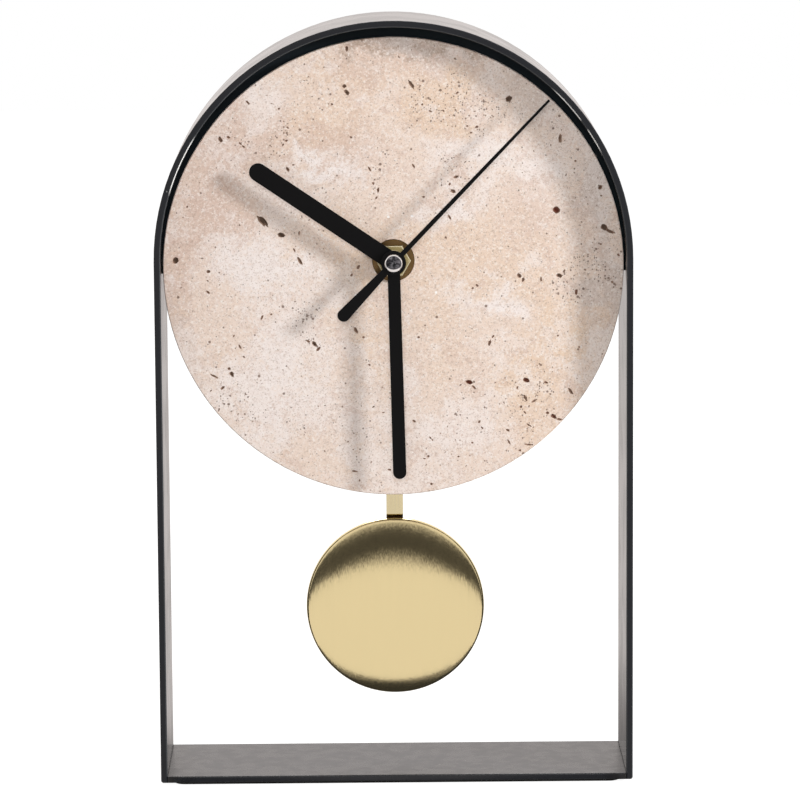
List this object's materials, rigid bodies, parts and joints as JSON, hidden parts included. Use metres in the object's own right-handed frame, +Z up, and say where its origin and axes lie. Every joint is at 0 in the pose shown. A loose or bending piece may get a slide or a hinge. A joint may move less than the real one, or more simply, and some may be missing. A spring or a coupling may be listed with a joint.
{
  "type": "desk pendulum clock",
  "caption": "Arched steel band on a flat base with a round stone dial, plain hands, a quartz pendulum movement behind and a domed brass bob swinging in the open lower half.",
  "frame": {"origin": "on the floor under the middle of the clock, at the centre of the footprint", "axes": "+Z up, the dial faces -Y, +X to the right as seen from the front"},
  "size_m": [0.18, 0.055, 0.291],
  "materials": {
    "frame_paint": "matt black powder coat",
    "base_rubber": "thin black non-slip sheet",
    "dial_stone": "honed travertine with open pits",
    "bush_brass": "turned",
    "nut_brass": "turned and polished",
    "hand_black": "matt black",
    "cap_chrome": "polished",
    "bob_brass": "vertical brushing under clear lacquer",
    "rod_brass": "rolled strip",
    "case_plastic": "fine spark-eroded texture",
    "arm_plastic": "natural acetal",
    "wheel_plastic": "natural acetal",
    "knob_plastic": "moulded",
    "arbor_steel": "ground",
    "pin_steel": "bright",
    "magnet_grey": "sintered ferrite",
    "core_steel": "rolled sheet",
    "copper_wire": "enamelled copper winding",
    "bobbin_plastic": "natural nylon",
    "board_green": "glass-fibre laminate",
    "crystal_can": "drawn metal can",
    "chip_black": "epoxy",
    "cell_jacket": "plain shrink sleeve with plain metal ends",
    "contact_steel": "nickel plated spring strip",
    "gasket_rubber": "moulded"
  },
  "bodies": {
    "frame": {"arch_band": "frame_paint", "base_plate": "frame_paint", "base_pad": "base_rubber", "back_plate": "frame_paint", "dial_disc": "dial_stone", "threaded_bush": "bush_brass", "rubber_gasket": "gasket_rubber", "dial_washer": "nut_brass", "hex_nut": "nut_brass", "movement_case": "case_plastic", "rear_cover": "case_plastic", "drive_cover": "case_plastic", "train_plate": "bobbin_plastic", "stator_plate": "core_steel", "coil_core": "core_steel", "motor_coil": "copper_wire", "circuit_board": "board_green", "quartz_crystal": "crystal_can", "chip_cover": "chip_black", "battery_cell": "cell_jacket", "contact_positive": "contact_steel", "contact_negative": "contact_steel", "coil_bobbin": "bobbin_plastic", "pendulum_coil": "copper_wire", "pivot_pin": "pin_steel"},
    "hour": {"hour_wheel": "wheel_plastic", "hour_hand": "hand_black"},
    "minute": {"minute_pinion": "wheel_plastic", "minute_hand": "hand_black"},
    "centre": {"centre_wheel": "wheel_plastic"},
    "second": {"second_arbor": "arbor_steel", "second_hand": "hand_black", "hand_cap": "cap_chrome"},
    "setting": {"setting_wheel": "wheel_plastic", "set_knob": "knob_plastic"},
    "third": {"third_wheel": "wheel_plastic"},
    "transfer": {"transfer_wheel": "wheel_plastic"},
    "rotor": {"motor_rotor": "wheel_plastic"},
    "pendulum": {"swing_arm": "arm_plastic", "drive_magnet": "magnet_grey", "pendulum_rod": "rod_brass", "bob_shell": "bob_brass", "bob_back": "bob_brass", "bob_rivets": "rod_brass"}
  },
  "joints": [
    {"name": "minute_turn", "type": "hinge", "parent": "frame", "child": "minute", "pos_m": [0, 0, 0.2], "axis": [0, 1, 0], "continuous": true},
    {"name": "hour_turn", "type": "hinge", "parent": "frame", "child": "hour", "pos_m": [0, 0, 0.2], "axis": [0, 1, 0], "continuous": true},
    {"name": "setting_turn", "type": "hinge", "parent": "frame", "child": "setting", "pos_m": [-0.00866, 0, 0.205], "axis": [0, 1, 0], "continuous": true},
    {"name": "second_turn", "type": "hinge", "parent": "frame", "child": "second", "pos_m": [0, 0, 0.2], "axis": [0, 1, 0], "continuous": true},
    {"name": "third_turn", "type": "hinge", "parent": "frame", "child": "third", "pos_m": [0.00765, 0, 0.2], "axis": [0, 1, 0], "continuous": true},
    {"name": "centre_turn", "type": "hinge", "parent": "frame", "child": "centre", "pos_m": [0, 0, 0.2], "axis": [0, 1, 0], "continuous": true},
    {"name": "transfer_turn", "type": "hinge", "parent": "frame", "child": "transfer", "pos_m": [0.00375, 0, 0.2065], "axis": [0, 1, 0], "continuous": true},
    {"name": "rotor_turn", "type": "hinge", "parent": "frame", "child": "rotor", "pos_m": [0.00556, 0, 0.21326], "axis": [0, 1, 0], "continuous": true},
    {"name": "pendulum_swing", "type": "hinge", "parent": "frame", "child": "pendulum", "pos_m": [0, 0, 0.166], "axis": [0, 1, 0], "range_deg": [-8, 8]}
  ],
  "couplings": [
    {"joint": "hour_turn", "follows": "minute_turn", "ratio": 0.083333},
    {"joint": "setting_turn", "follows": "minute_turn", "ratio": -0.33333},
    {"joint": "third_turn", "follows": "second_turn", "ratio": -0.13333},
    {"joint": "centre_turn", "follows": "second_turn", "ratio": 0.016667},
    {"joint": "transfer_turn", "follows": "second_turn", "ratio": -5},
    {"joint": "rotor_turn", "follows": "second_turn", "ratio": 30}
  ]
}
